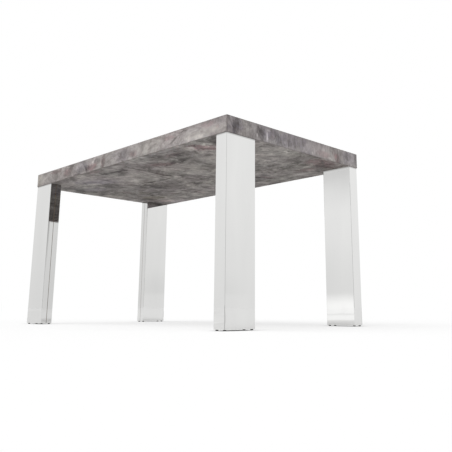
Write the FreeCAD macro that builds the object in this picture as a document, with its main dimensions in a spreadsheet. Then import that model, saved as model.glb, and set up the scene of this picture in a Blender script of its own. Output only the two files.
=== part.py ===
"""Extendable dining table: a thick laminated slab, split across its middle, on four box posts.

Each half of the slab carries two posts and slides away from the other on runners that are hidden
in the hollow slab. A carriage between the halves keeps its place in the middle: its two bars slide
in the halves' channels, a pinion between two racks keeps both halves in step, and the folded leaf
lies in its cradles.

Frame: origin on the floor under the middle of the shut table, +X along its length, +Y to the back,
+Z up. Left is -X, front is -Y. Millimetres.
"""
import FreeCAD, Part
import Sketcher
import math
import os

doc = FreeCAD.newDocument("extendable_dining_table")

# ---------------------------------------------------------------- driving sizes
SIZES = [
    # the whole table
    ("table_length", 1434, "over the end edges, shut"),
    ("table_width", 800, "over the long edges"),
    ("table_height", 750, "floor to table top"),
    ("extension", 450, "how far the halves part"),
    # slab
    ("top_board", 16, "thickness of the top panel"),
    ("edge_board", 16, "thickness of the edges"),
    ("under_board", 8, "thickness of the underside panel"),
    ("arris", 1, "radius along the slab's outer edges"),
    ("split_gap", 0.4, "between the halves when shut"),
    ("rib_board", 18, "thickness of the ribs in the slab"),
    ("rib_clearance", 20, "from the channel's end to the first cross rib"),
    ("split_block", 40, "length of the blocks beside the runners at the split"),
    # legs
    ("leg_wide", 145, "wide side of a post"),
    ("leg_narrow", 55, "narrow side of a post"),
    ("leg_inset", 2, "from the slab's edge to the post"),
    ("leg_sheet", 0.8, "thickness of the folded sheet"),
    ("leg_bend", 1.6, "outer radius of the sheet's folds"),
    ("leg_seam", 1.2, "gap where the sheet's two edges meet"),
    ("core_play", 0.1, "glue line between the sheet and what it holds"),
    ("block_overhang", 20, "how far the corner block reaches past the post"),
    ("plug_height", 10, "thickness of the plug in the post's foot"),
    ("plug_recess", 1, "from the sheet's lower edge up to the plug"),
    ("glide_height", 4, "from the floor to the sheet's lower edge"),
    ("glide_radius", 5, "foot glide"),
    ("glide_inset", 8.5, "from the post's faces to the glide's axis"),
    ("glide_pin", 2.5, "radius of the glide's pin in the plug"),
    ("glide_pin_play", 0.1, "around that pin"),
    ("glide_pin_length", 6, "how far that pin reaches up"),
    ("glide_bevel", 1, "around the glide's lower edge"),
    # tie rods that hold the posts to the slab
    ("rod_radius", 5, "tie rod"),
    ("rod_inset", 32.5, "from a post's narrow sides to its rods' axes"),
    ("rod_play", 1, "around a rod in the post and the panel"),
    ("rod_reach", 22, "how far a rod enters the corner block"),
    ("insert_wall", 2, "wall of the threaded insert"),
    ("insert_length", 26, "length of the threaded insert"),
    ("thread_play", 0.05, "between a rod and what is threaded on it"),
    ("nut_flats", 17, "across the nut's flats"),
    ("nut_height", 8, "nut"),
    ("washer_radius", 10, "washer under the nut"),
    ("washer_sheet", 2, "thickness of the washer"),
    ("wrench_play", 1.5, "around the washer in the plug"),
    # runners
    ("bar_width", 20, "width of the carriage's bar"),
    ("bar_wall", 2.5, "wall of the carriage's bar"),
    ("channel_wall", 2.5, "wall of the channel"),
    ("channel_setback", 3, "from the split to the channel's mouth"),
    ("channel_tail", 12, "from the shut bar's end to the channel's end"),
    ("flange_setback", 2, "from the bar's inner face to the channel's flange"),
    ("liner_sheet", 1, "thickness of the sliding liners"),
    ("running_gap", 0.25, "between a liner and what it slides on"),
    ("rail_clearance", 1.25, "between the channel and the panels"),
    ("collar_length", 100, "liner fixed in the channel's mouth"),
    ("shoe_length", 100, "liner fixed on the bar's end"),
    ("stop_gap", 0.3, "between shoe and collar at full reach"),
    ("screw_margin", 50, "from the channel's ends to its outer screws"),
    ("screw_shank", 2, "radius of the screws"),
    ("screw_head", 4, "radius of their heads"),
    ("screw_length", 15, "length of the channel's screws"),
    ("pan_height", 2, "height of a pan head"),
    # leaf and its cradles
    ("leaf_board", 16, "thickness of the leaf's boards"),
    ("leaf_play", 1, "leaf's length is this much less than the extension"),
    ("leaf_headroom", 2.5, "above the folded leaf"),
    ("leaf_side_play", 2, "between the folded leaf and its cradles"),
    ("carriage_lift", 2.5, "between the cradles and the underside panel"),
    ("cradle_sheet", 3, "thickness of the cradles' strip"),
    ("cradle_width", 40, "width of a cradle"),
    ("cradle_spacing", 300, "between the two cradles"),
    ("cradle_screw", 5, "from a cradle's arm up to its screws"),
    ("rest_gap", 0.4, "between the cradles' tabs, which carry the open leaf, and the top panel"),
    ("hinge_length", 40, "leaf hinge"),
    ("hinge_plate", 25, "width of the hinge's plates"),
    ("hinge_sheet", 1.2, "thickness of the hinge's plates"),
    ("hinge_knuckle", 3, "outer radius of the hinge's knuckle"),
    ("hinge_pin", 1.5, "radius of the hinge's pin"),
    ("hinge_play", 0.2, "around the plates in the leaf's boards"),
    ("hinge_to_cradle", 5, "between an outer hinge and its cradle"),
    # racks and pinion
    ("gear_module", 1.25, "tooth size"),
    ("pinion_teeth", 16, "number of teeth"),
    ("gear_backlash", 0.2, "play between teeth, on the pitch line"),
    ("pinion_width", 9, "along its axle"),
    ("rack_width", 10, "along the pinion's axle"),
    ("rack_play", 8, "beside the racks"),
    ("rack_relief", 1, "under the free length of a rack"),
    ("rack_anchor", 120, "length of a rack on its own half"),
    ("rack_overrun", 15, "teeth left beyond the pinion at full reach"),
    ("rack_screw_near", 36, "from the split to a rack's first screw"),
    ("rack_screw_far", 102, "from the split to its second screw"),
    ("rack_screw_grip", 6, "how far these screws enter the panel"),
    ("axle_radius", 3, "pinion's axle"),
    ("axle_play", 0.05, "between axle and pinion"),
    ("axle_shoulder", 5, "radius of the axle's shoulder"),
    ("bracket_sheet", 3, "thickness of the axle's bracket"),
    ("bracket_length", 44, "length of the axle's bracket"),
    ("clip_sheet", 1, "thickness of the retaining clip"),
    ("end_play", 0.2, "of the pinion along its axle"),
    # what lines the halves up and keeps them shut
    ("dowel_radius", 5, "alignment dowel"),
    ("dowel_reach", 15, "how far a dowel enters the left half"),
    ("dowel_depth", 20, "how deep it is set in the right half"),
    ("dowel_play", 0.3, "around it in the left half"),
    ("dowel_end_play", 3, "beyond its end in the left half"),
    ("catch_offset", 25, "dowel and catch, each side of the block's middle"),
    ("magnet_radius", 7, "catch magnet and its plate"),
    ("magnet_height", 4, "catch magnet"),
    ("plate_sheet", 2, "catch plate"),
]
sizes = doc.addObject("Spreadsheet::Sheet", "sizes")
for row, (alias, number, note) in enumerate(SIZES, start=1):
    sizes.set(f"A{row}", note)
    sizes.set(f"B{row}", str(number))
    sizes.setAlias(f"B{row}", alias)
doc.recompute()

# ---------------------------------------------------------------- places that follow from the sizes
PLACES = [
    ("half_length", "sizes.table_length / 2"),
    ("half_width", "sizes.table_width / 2"),
    ("inner_half_length", "half_length - sizes.edge_board"),
    ("inner_half_width", "half_width - sizes.edge_board"),
    ("split", "sizes.split_gap / 2"),
    ("reach", "sizes.extension / 2"),
    # levels of the slab and of the hollow in it
    ("slab_top", "sizes.table_height"),
    ("hollow_top", "slab_top - sizes.top_board"),
    ("folded_leaf", "2 * sizes.leaf_board"),
    ("hollow_height", "sizes.carriage_lift + sizes.cradle_sheet + folded_leaf + sizes.leaf_headroom"),
    ("hollow_floor", "hollow_top - hollow_height"),
    ("slab_bottom", "hollow_floor - sizes.under_board"),
    ("cradle_floor", "hollow_floor + sizes.carriage_lift"),
    ("leaf_floor", "cradle_floor + sizes.cradle_sheet"),
    ("rail_axis", "(hollow_floor + hollow_top) / 2"),
    ("tab_top", "hollow_top - sizes.rest_gap"),
    # from the middle plane outwards, along Y
    ("leaf_side", "sizes.table_width / 4"),
    ("cradle_inside", "leaf_side + sizes.leaf_side_play"),
    ("cradle_outside", "cradle_inside + sizes.cradle_sheet"),
    ("rack_side", "cradle_outside + sizes.rack_play"),
    ("rack_middle", "rack_side + sizes.rack_width / 2"),
    ("tab_face", "rack_side + sizes.rack_width + sizes.rack_play"),
    ("bar_face", "tab_face + sizes.cradle_sheet"),
    ("bar_back", "bar_face + sizes.bar_width"),
    ("channel_inside", "bar_back + sizes.running_gap + sizes.liner_sheet"),
    ("rib_face", "channel_inside + sizes.channel_wall"),
    ("rib_back", "rib_face + sizes.rib_board"),
    ("flange_edge", "bar_face + sizes.flange_setback"),
    ("split_block_middle", "(rib_back + inner_half_width) / 2"),
    # half heights of the runner, about its axis
    ("channel_half", "hollow_height / 2 - sizes.rail_clearance"),
    ("channel_bore_half", "channel_half - sizes.channel_wall"),
    ("bar_half", "channel_bore_half - sizes.liner_sheet - sizes.running_gap"),
    # from the split outwards, along X
    ("collar_end", "sizes.channel_setback + sizes.collar_length"),
    ("shoe_start", "collar_end + reach + sizes.stop_gap"),
    ("bar_end", "shoe_start + sizes.shoe_length"),
    ("channel_end", "bar_end + sizes.channel_tail"),
    ("rib_end", "half_length - sizes.leg_inset - sizes.leg_narrow - sizes.block_overhang"),
    ("leaf_half_length", "(sizes.extension - sizes.leaf_play) / 2"),
    ("cradle_offset", "sizes.cradle_spacing / 2"),
    ("hinge_offset", "cradle_offset + (sizes.cradle_width + sizes.hinge_length) / 2 + sizes.hinge_to_cradle"),
    # legs: heights, and the posts' axes in from the slab's corners
    ("plug_floor", "sizes.glide_height + sizes.plug_recess"),
    ("core_floor", "plug_floor + sizes.plug_height"),
    ("sheet_height", "slab_bottom - sizes.glide_height"),
    ("core_height", "slab_bottom - core_floor"),
    ("rod_top", "hollow_floor + sizes.rod_reach"),
    ("rod_offset", "sizes.leg_wide / 2 - sizes.rod_inset"),
    ("core_wide", "sizes.leg_wide - 2 * (sizes.leg_sheet + sizes.core_play)"),
    ("core_narrow", "sizes.leg_narrow - 2 * (sizes.leg_sheet + sizes.core_play)"),
    ("wide_axis", "sizes.leg_inset + sizes.leg_wide / 2"),
    ("narrow_axis", "sizes.leg_inset + sizes.leg_narrow / 2"),
    # gears
    ("pitch_radius", "sizes.gear_module * sizes.pinion_teeth / 2"),
]
places = doc.addObject("Spreadsheet::Sheet", "places")
for row, (alias, formula) in enumerate(PLACES, start=1):
    places.set(f"B{row}", f"={formula}")
    places.setAlias(f"B{row}", alias)
doc.recompute()

PRESSURE_ANGLE = math.radians(20)
ADDENDUM = 0.8         # of a tooth, in modules: stub teeth clear the small pinion's roots
DEDENDUM = 1.0
FLANK_POINTS = 5
ALONG_X = FreeCAD.Rotation(FreeCAD.Vector(0, 1, 0), 90)
ALONG_Y = FreeCAD.Rotation(FreeCAD.Vector(1, 0, 0), -90)
ALONG_MINUS_Y = FreeCAD.Rotation(FreeCAD.Vector(1, 0, 0), 90)
DOWNWARD = FreeCAD.Rotation(FreeCAD.Vector(1, 0, 0), 180)
UPRIGHT = FreeCAD.Rotation()

nodes = {}


# ---------------------------------------------------------------- helpers
def value(expression):
    """The number that an expression of the two sheets has now."""
    return float(places.evalExpression(expression))


def bind(piece, **expressions):
    for name, expression in expressions.items():
        piece.setExpression(name, expression)
    return piece


def place(piece, x="0", y="0", z="0", turn=UPRIGHT):
    """Turns a piece, then puts its own origin at a place bound to the sheets."""
    piece.Placement = FreeCAD.Placement(FreeCAD.Vector(value(x), value(y), value(z)), turn)
    for axis, expression in (("x", x), ("y", y), ("z", z)):
        piece.setExpression(f"Placement.Base.{axis}", expression)
    return piece


def node(name, piece):
    """Names a finished sub-part, which is written to the file of that name."""
    piece.Label = name
    nodes[name] = piece
    return piece


def box(name, x, y, z):
    """A block between two bounds along each axis."""
    piece = doc.addObject("Part::Box", name)
    bind(piece, Length=f"({x[1]}) - ({x[0]})", Width=f"({y[1]}) - ({y[0]})", Height=f"({z[1]}) - ({z[0]})")
    return place(piece, x[0], y[0], z[0])


def cylinder(name, radius, length, x="0", y="0", z="0", turn=UPRIGHT):
    piece = doc.addObject("Part::Cylinder", name)
    bind(piece, Radius=radius, Height=length)
    return place(piece, x, y, z, turn)


def cone(name, radius, end_radius, length, x="0", y="0", z="0", turn=UPRIGHT):
    piece = doc.addObject("Part::Cone", name)
    bind(piece, Radius1=radius, Radius2=end_radius, Height=length)
    return place(piece, x, y, z, turn)


def group(name, pieces):
    piece = doc.addObject("Part::Compound", name)
    piece.Links = pieces
    return piece


def fuse(name, pieces):
    piece = doc.addObject("Part::MultiFuse", name)
    piece.Shapes = pieces
    return piece


def cut(name, base, tool):
    piece = doc.addObject("Part::Cut", name)
    piece.Base = base
    piece.Tool = tool
    return piece


def ring(name, radius, hole, length, x="0", y="0", z="0", turn=UPRIGHT):
    return cut(name, cylinder(f"{name}_blank", radius, length, x, y, z, turn),
               cylinder(f"{name}_hole", hole, length, x, y, z, turn))


def outline(body, name, role, loops):
    """A sketch of closed straight-sided loops, each corner dimensioned from the body's origin."""
    sketch = body.newObject("Sketcher::SketchObject", name)
    plane = next(item for item in body.Origin.OriginFeatures if item.Role == role)
    sketch.AttachmentSupport = (plane, "")
    sketch.MapMode = "FlatFace"
    for loop in loops:
        corners = [FreeCAD.Vector(value(across), value(up), 0) for across, up in loop]
        first = sketch.GeometryCount
        for start, end in zip(corners, corners[1:] + corners[:1]):
            sketch.addGeometry(Part.LineSegment(start, end), False)
        for index, (expressions, corner) in enumerate(zip(loop, corners)):
            line = first + index
            following = first + (index + 1) % len(loop)
            sketch.addConstraint(Sketcher.Constraint("Coincident", line, 2, following, 1))
            for kind, expression, number in zip(("DistanceX", "DistanceY"), expressions, corner):
                constraint = Sketcher.Constraint(kind, -1, 1, line, 1, number)
                index_of = sketch.addConstraint(constraint)
                sketch.setExpression(f"Constraints[{index_of}]", expression)
    return sketch


def rectangle(across, up):
    """Corner expressions of a rectangle centred on the sketch's origin."""
    a, b = f"{across} / 2", f"{up} / 2"
    return [(f"-{a}", f"-{b}"), (a, f"-{b}"), (a, b), (f"-{a}", b)]


def pad(body, name, sketch, length):
    feature = body.newObject("PartDesign::Pad", name)
    feature.Profile = sketch
    feature.setExpression("Length", length)
    sketch.Visibility = False
    return feature


def pocket_through(body, name, sketch):
    """Cuts a sketch on the body's XY plane through the whole height above it."""
    feature = body.newObject("PartDesign::Pocket", name)
    feature.Profile = sketch
    feature.Type = "ThroughAll"
    feature.Reversed = True
    sketch.Visibility = False
    return feature


def round_upright_edges(body, name, radius, base, nearer_than=None):
    """Fillets the upright edges of a feature, or only those near the body's axis."""
    doc.recompute()
    picked = []
    for index, edge in enumerate(base.Shape.Edges, start=1):
        ends = [vertex.Point for vertex in edge.Vertexes]
        if len(ends) < 2 or abs(ends[0].x - ends[1].x) > 1e-6 or abs(ends[0].y - ends[1].y) > 1e-6:
            continue
        if nearer_than is None or abs(ends[0].x) < nearer_than:
            picked.append(f"Edge{index}")
    feature = body.newObject("PartDesign::Fillet", name)
    feature.Base = (base, picked)
    feature.setExpression("Radius", radius)
    return feature


def profile(name, loops, x):
    """A section in the YZ plane, drawn out along X between two bounds."""
    body = doc.addObject("PartDesign::Body", name)
    sketch = outline(body, f"{name}_section", "YZ_Plane", loops)
    pad(body, f"{name}_length", sketch, f"({x[1]}) - ({x[0]})")
    return place(body, x[0])


def span(side, start, end):
    """Bounds along an axis, from two distances out from the middle on the side + or -."""
    return (start, end) if side == "+" else (f"-({end})", f"-({start})")


# ---------------------------------------------------------------- slab
def slab_outline():
    """The slab as one block with rounded outer edges, which trims the boards of both halves."""
    body = doc.addObject("PartDesign::Body", "slab_outline")
    sketch = outline(body, "slab_plan", "XY_Plane", [rectangle("sizes.table_length", "sizes.table_width")])
    block = pad(body, "slab_block", sketch, "places.slab_top - places.slab_bottom")
    doc.recompute()
    rounded = body.newObject("PartDesign::Fillet", "slab_arrises")
    rounded.Base = (block, [f"Edge{index + 1}" for index in range(len(block.Shape.Edges))])
    rounded.setExpression("Radius", "sizes.arris")
    return place(body, z="places.slab_bottom")


def mitred_board(name, near, far, thickness, trim, x="0", y="0", z="0", turn=UPRIGHT):
    """A board whose mitred edges run from the near face's outline to the far face's."""
    blank = doc.addObject("Part::Wedge", f"{name}_blank")
    bind(blank, Xmin=near[0][0], Xmax=near[0][1], Zmin=near[1][0], Zmax=near[1][1], Ymin="0",
         X2min=far[0][0], X2max=far[0][1], Z2min=far[1][0], Z2max=far[1][1], Ymax=thickness)
    place(blank, x, y, z, turn)
    board = doc.addObject("Part::Common", name)
    board.Base = blank
    board.Tool = trim
    return board


def slab_boards(half, side, trim, rod_holes, rack_screws):
    outer_x = span(side, "places.split", "places.half_length")
    inner_x = span(side, "places.split", "places.inner_half_length")
    outer_y = span("+", "-places.half_width", "places.half_width")
    inner_y = span("+", "-places.inner_half_width", "places.inner_half_width")
    outer_z = ("places.slab_bottom", "places.slab_top")
    inner_z = ("places.hollow_floor", "places.hollow_top")
    end_turn = FreeCAD.Rotation(FreeCAD.Vector(0, 0, 1), -90)

    top = mitred_board(f"top_blank_{half}", (outer_x, outer_y), (inner_x, inner_y), "sizes.top_board",
                       trim, z="places.slab_top", turn=ALONG_Y)
    under = mitred_board(f"under_blank_{half}", (outer_x, outer_y), (inner_x, inner_y),
                         "sizes.under_board", trim, z="places.slab_bottom", turn=ALONG_MINUS_Y)
    if half == "left":
        node("top_panel_left", top)
        openings = group("under_openings_left", rod_holes + [rack_screws])
        node("under_panel_left", cut("under_panel_left", under, openings))
    else:
        node("top_panel_right", cut("top_panel_right", top, rack_screws))
        openings = group("under_openings_right", rod_holes)
        node("under_panel_right", cut("under_panel_right", under, openings))

    node(f"front_edge_{half}",
         mitred_board(f"front_edge_{half}", (outer_x, outer_z), (inner_x, inner_z), "sizes.edge_board",
                      trim, y="-places.half_width"))
    node(f"back_edge_{half}",
         mitred_board(f"back_edge_{half}", (inner_x, inner_z), (outer_x, outer_z), "sizes.edge_board",
                      trim, y="places.inner_half_width"))
    faces = [(outer_y, outer_z), (inner_y, inner_z)]
    start = "-places.half_length"
    if side == "+":
        faces.reverse()
        start = "places.inner_half_length"
    node(f"end_edge_{half}",
         mitred_board(f"end_edge_{half}", faces[0], faces[1], "sizes.edge_board", trim, x=start,
                      turn=end_turn))


def slab_frame(half, side, channel_screws):
    """Ribs that carry the panels and the channels, and the blocks beside the runners."""
    height = ("places.hollow_floor", "places.hollow_top")
    along = span(side, "places.split", "places.rib_end")
    between_ribs = ("-places.rib_face", "places.rib_face")
    long_ribs = [box(f"{edge}_rib_{half}", along, span(way, "places.rib_face", "places.rib_back"), height)
                 for edge, way in (("front", "-"), ("back", "+"))]
    node(f"long_ribs_{half}", cut(f"long_ribs_{half}", group(f"rib_pair_{half}", long_ribs), channel_screws))

    first = "places.channel_end + sizes.rib_clearance"
    last = "places.rib_end - sizes.rib_board"
    middle = "(places.split + places.rib_end - sizes.rib_board) / 2"
    ribs = [box(f"inner_rib_{half}", span(side, first, f"{first} + sizes.rib_board"), between_ribs, height),
            box(f"outer_rib_{half}", span(side, last, "places.rib_end"), between_ribs, height)]
    for edge, way in (("front", "-"), ("back", "+")):
        beside = span(way, "places.rib_back", "places.inner_half_width")
        ribs.append(box(f"{edge}_side_rib_{half}", span(side, middle, f"{middle} + sizes.rib_board"),
                        beside, height))
    node(f"cross_ribs_{half}", group(f"cross_ribs_{half}", ribs))


def split_fittings():
    """Blocks at the split, with dowels and catch plates on the right and magnets on the left."""
    height = ("places.hollow_floor", "places.hollow_top")
    along = {"left": span("-", "places.split", "places.split + sizes.split_block"),
             "right": span("+", "places.split", "places.split + sizes.split_block")}
    blocks = {"left": [], "right": []}
    dowels, sockets, magnets, plates = [], [], [], []
    for edge, way in (("front", "-"), ("back", "+")):
        beside = span(way, "places.rib_back", "places.inner_half_width")
        for half in blocks:
            blocks[half].append(box(f"{edge}_split_block_{half}", along[half], beside, height))
        dowel_y = f"{way}(places.split_block_middle - sizes.catch_offset)"
        catch_y = f"{way}(places.split_block_middle + sizes.catch_offset)"
        level = "places.rail_axis"
        dowels.append(cylinder(f"{edge}_dowel", "sizes.dowel_radius", "sizes.dowel_reach + sizes.dowel_depth",
                               "-sizes.dowel_reach", dowel_y, level, ALONG_X))
        deeper = "sizes.dowel_reach + sizes.dowel_end_play"
        sockets.append(cylinder(f"{edge}_socket", "sizes.dowel_radius + sizes.dowel_play", deeper,
                                f"-({deeper})", dowel_y, level, ALONG_X))
        magnets.append(cylinder(f"{edge}_magnet", "sizes.magnet_radius", "sizes.magnet_height",
                                "-places.split - sizes.magnet_height", catch_y, level, ALONG_X))
        plates.append(cylinder(f"{edge}_catch_plate", "sizes.magnet_radius", "sizes.plate_sheet",
                               "places.split", catch_y, level, ALONG_X))
    node("dowels", group("dowels", dowels))
    node("catch_magnets", group("catch_magnets", magnets))
    node("catch_plates", group("catch_plates", plates))
    node("split_blocks_left", cut("split_blocks_left", group("block_pair_left", blocks["left"]),
                                  group("block_holes_left", sockets + magnets)))
    node("split_blocks_right", cut("split_blocks_right", group("block_pair_right", blocks["right"]),
                                   group("block_holes_right", dowels + plates)))


# ---------------------------------------------------------------- legs
LEGS = [
    # name, half, turn, and the post's axis: each post is a quarter turn on from the last, so that
    # the wide sides run round the table like the vanes of a pinwheel
    ("front_left", "left", 0, "places.wide_axis - places.half_length",
     "places.narrow_axis - places.half_width"),
    ("front_right", "right", 90, "places.half_length - places.narrow_axis",
     "places.wide_axis - places.half_width"),
    ("back_right", "right", 180, "places.half_length - places.wide_axis",
     "places.half_width - places.narrow_axis"),
    ("back_left", "left", 270, "places.narrow_axis - places.half_length",
     "places.half_width - places.wide_axis"),
]


def leg_sheet(name):
    """Polished sheet folded round the core, open along the middle of the inner narrow side."""
    body = doc.addObject("PartDesign::Body", name)
    plan = outline(body, f"{name}_plan", "XY_Plane", [rectangle("sizes.leg_wide", "sizes.leg_narrow")])
    block = pad(body, f"{name}_block", plan, "places.sheet_height")
    round_upright_edges(body, f"{name}_folds", "sizes.leg_bend", block)
    inner = [rectangle("(sizes.leg_wide - 2 * sizes.leg_sheet)", "(sizes.leg_narrow - 2 * sizes.leg_sheet)")]
    hollow = pocket_through(body, f"{name}_hollow", outline(body, f"{name}_inside", "XY_Plane", inner))
    doc.recompute()
    limit = value("sizes.leg_wide / 2 - sizes.leg_sheet / 2")
    round_upright_edges(body, f"{name}_inner_folds", "sizes.leg_bend - sizes.leg_sheet", hollow, limit)
    half_gap = "sizes.leg_seam / 2"
    seam = [("0", f"-{half_gap}"), ("sizes.leg_wide", f"-{half_gap}"),
            ("sizes.leg_wide", half_gap), ("0", half_gap)]
    pocket_through(body, f"{name}_seam", outline(body, f"{name}_seam_plan", "XY_Plane", [seam]))
    return body


def rounded_block(name, height):
    """A block that fills the folded sheet."""
    body = doc.addObject("PartDesign::Body", name)
    plan = outline(body, f"{name}_plan", "XY_Plane", [rectangle("places.core_wide", "places.core_narrow")])
    block = pad(body, f"{name}_block", plan, height)
    round_upright_edges(body, f"{name}_corners", "sizes.leg_bend - sizes.leg_sheet", block)
    return body


def leg_rods(leg):
    """Tie rods of one post, with nut and washer below and a threaded insert above."""
    pieces, clearances, inserts = [], [], []
    for number, way in enumerate(("-", "+"), start=1):
        name = f"{leg}_{number}"
        across = f"{way}places.rod_offset"
        pieces.append(cylinder(f"rod_{name}", "sizes.rod_radius", "places.rod_top - places.plug_floor",
                               across, z="places.plug_floor"))
        thread = "sizes.rod_radius + sizes.thread_play"
        washer_floor = "places.core_floor - sizes.washer_sheet"
        pieces.append(ring(f"washer_{name}", "sizes.washer_radius", thread, "sizes.washer_sheet",
                           across, z=washer_floor))
        hexagon = doc.addObject("Part::Prism", f"nut_{name}_blank")
        hexagon.Polygon = 6
        bind(hexagon, Circumradius="sizes.nut_flats / sqrt(3)", Height="sizes.nut_height")
        place(hexagon, across, z=f"{washer_floor} - sizes.nut_height")
        hole = cylinder(f"nut_{name}_hole", thread, "sizes.nut_height", across,
                        z=f"{washer_floor} - sizes.nut_height")
        pieces.append(cut(f"nut_{name}", hexagon, hole))
        outer = "sizes.rod_radius + sizes.insert_wall"
        pieces.append(ring(f"insert_{name}", outer, thread, "sizes.insert_length", across,
                           z="places.hollow_floor"))
        inserts.append(cylinder(f"insert_seat_{name}", outer, "sizes.insert_length", across,
                                z="places.hollow_floor"))
        clearances.append(cylinder(f"rod_way_{name}", "sizes.rod_radius + sizes.rod_play",
                                   "places.hollow_floor", across))
    return group(f"rods_{leg}", pieces), clearances, inserts


def leg_glides(leg):
    pieces, pin_holes = [], []
    for corner, (way_x, way_y) in enumerate((("-", "-"), ("+", "-"), ("+", "+"), ("-", "+")), start=1):
        name = f"{leg}_{corner}"
        across = f"{way_x}(sizes.leg_wide / 2 - sizes.glide_inset)"
        beside = f"{way_y}(sizes.leg_narrow / 2 - sizes.glide_inset)"
        foot = cone(f"glide_foot_{name}", "sizes.glide_radius - sizes.glide_bevel", "sizes.glide_radius",
                    "sizes.glide_bevel", across, beside)
        disc = cylinder(f"glide_disc_{name}", "sizes.glide_radius", "places.plug_floor - sizes.glide_bevel",
                        across, beside, "sizes.glide_bevel")
        pin = cylinder(f"glide_pin_{name}", "sizes.glide_pin", "sizes.glide_pin_length", across, beside,
                       "places.plug_floor")
        pieces.append(fuse(f"glide_{name}", [foot, disc, pin]))
        pin_holes.append(cylinder(f"glide_pin_hole_{name}", "sizes.glide_pin + sizes.glide_pin_play",
                                  "sizes.glide_pin_length", across, beside, "places.plug_floor"))
    return group(f"glides_{leg}", pieces), pin_holes


def corner_block(leg, inserts):
    """The block in the slab's corner that the post is pulled up against."""
    wide = ("sizes.edge_board - places.wide_axis", "sizes.leg_wide / 2 + sizes.block_overhang")
    narrow = ("sizes.edge_board - places.narrow_axis", "sizes.leg_narrow / 2 + sizes.block_overhang")
    block = box(f"corner_blank_{leg}", wide, narrow, ("places.hollow_floor", "places.hollow_top"))
    return cut(f"corner_block_{leg}", block, group(f"insert_seats_{leg}", inserts))


def legs():
    """All four posts; returns the holes for their rods in each half's underside."""
    rods = {"left": [], "right": []}
    glides = {"left": [], "right": []}
    blocks = {"left": [], "right": []}
    holes = {"left": [], "right": []}
    for leg, half, degrees, x, y in LEGS:
        turn = FreeCAD.Rotation(FreeCAD.Vector(0, 0, 1), degrees)
        node(f"leg_sheet_{leg}", place(leg_sheet(f"leg_sheet_{leg}"), x, y, "sizes.glide_height", turn))

        leg_set, clearances, inserts = leg_rods(leg)
        core = place(rounded_block(f"core_blank_{leg}", "places.core_height"), z="places.core_floor")
        ways = group(f"rod_ways_{leg}", clearances)
        node(f"leg_core_{leg}", place(cut(f"leg_core_{leg}", core, ways), x, y, turn=turn))

        glide_set, pin_holes = leg_glides(leg)
        plug = place(rounded_block(f"plug_blank_{leg}", "sizes.plug_height"), z="places.plug_floor")
        wells = [cylinder(f"nut_well_{leg}_{way}", "sizes.washer_radius + sizes.wrench_play",
                          "sizes.plug_height", f"{way}places.rod_offset", z="places.plug_floor")
                 for way in ("-", "+")]
        plug_holes = group(f"plug_holes_{leg}", wells + pin_holes)
        node(f"leg_plug_{leg}", place(cut(f"leg_plug_{leg}", plug, plug_holes), x, y, turn=turn))

        rods[half].append(place(leg_set, x, y, turn=turn))
        glides[half].append(place(glide_set, x, y, turn=turn))
        blocks[half].append(place(corner_block(leg, inserts), x, y, turn=turn))
        holes[half].append(place(group(f"rod_holes_{leg}", clearances), x, y, turn=turn))
    for half in ("left", "right"):
        node(f"tie_rods_{half}", group(f"tie_rods_{half}", rods[half]))
        node(f"leg_glides_{half}", group(f"leg_glides_{half}", glides[half]))
        node(f"corner_blocks_{half}", group(f"corner_blocks_{half}", blocks[half]))
    return holes


# ---------------------------------------------------------------- runners
def trough(way, opening, back, wall_back, half_height, wall_height):
    """Corners of a trough on its side, open towards the middle of the table."""
    low, high = f"places.rail_axis - ({half_height})", f"places.rail_axis + ({half_height})"
    inner_low, inner_high = f"{low} + ({wall_height})", f"{high} - ({wall_height})"
    opening, back = f"{way}({opening})", f"({back})"
    inner_back = f"{way}({back} - ({wall_back}))"
    back = f"{way}{back}"
    return [(opening, low), (back, low), (back, high), (opening, high),
            (opening, inner_high), (inner_back, inner_high), (inner_back, inner_low), (opening, inner_low)]


def channel_screw_set(half, side):
    """Countersunk screws that hold the two channels to their ribs."""
    first = "(sizes.channel_setback + sizes.screw_margin)"
    last = "(places.channel_end - sizes.screw_margin)"
    screws = []
    for edge, way, turn in (("front", "-", ALONG_MINUS_Y), ("back", "+", ALONG_Y)):
        for number, along in enumerate((first, f"({first} + {last}) / 2", last), start=1):
            name = f"{edge}_{half}_{number}"
            x, y = f"{side}{along}", f"{way}places.channel_inside"
            head = cone(f"screw_head_{name}", "sizes.screw_head", "sizes.screw_shank", "sizes.channel_wall",
                        x, y, "places.rail_axis", turn)
            shank = cylinder(f"screw_shank_{name}", "sizes.screw_shank", "sizes.screw_length", x, y,
                             "places.rail_axis", turn)
            screws.append(fuse(f"channel_screw_{name}", [head, shank]))
    return screws


def channels(half, side, screws):
    collars = []
    for edge, way in (("front", "-"), ("back", "+")):
        section = trough(way, "places.flange_edge", "places.rib_face", "sizes.channel_wall",
                         "places.channel_half", "sizes.channel_wall")
        blank = profile(f"{edge}_channel_blank_{half}", [section],
                        span(side, "sizes.channel_setback", "places.channel_end"))
        node(f"{edge}_channel_{half}", cut(f"{edge}_channel_{half}", blank, screws))
        lining = trough(way, "places.flange_edge", "places.channel_inside", "sizes.liner_sheet",
                        "places.channel_bore_half", "sizes.liner_sheet")
        collars.append(profile(f"{edge}_collar_{half}", [lining],
                               span(side, "sizes.channel_setback", "places.collar_end")))
    node(f"channel_collars_{half}", group(f"channel_collars_{half}", collars))


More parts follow.
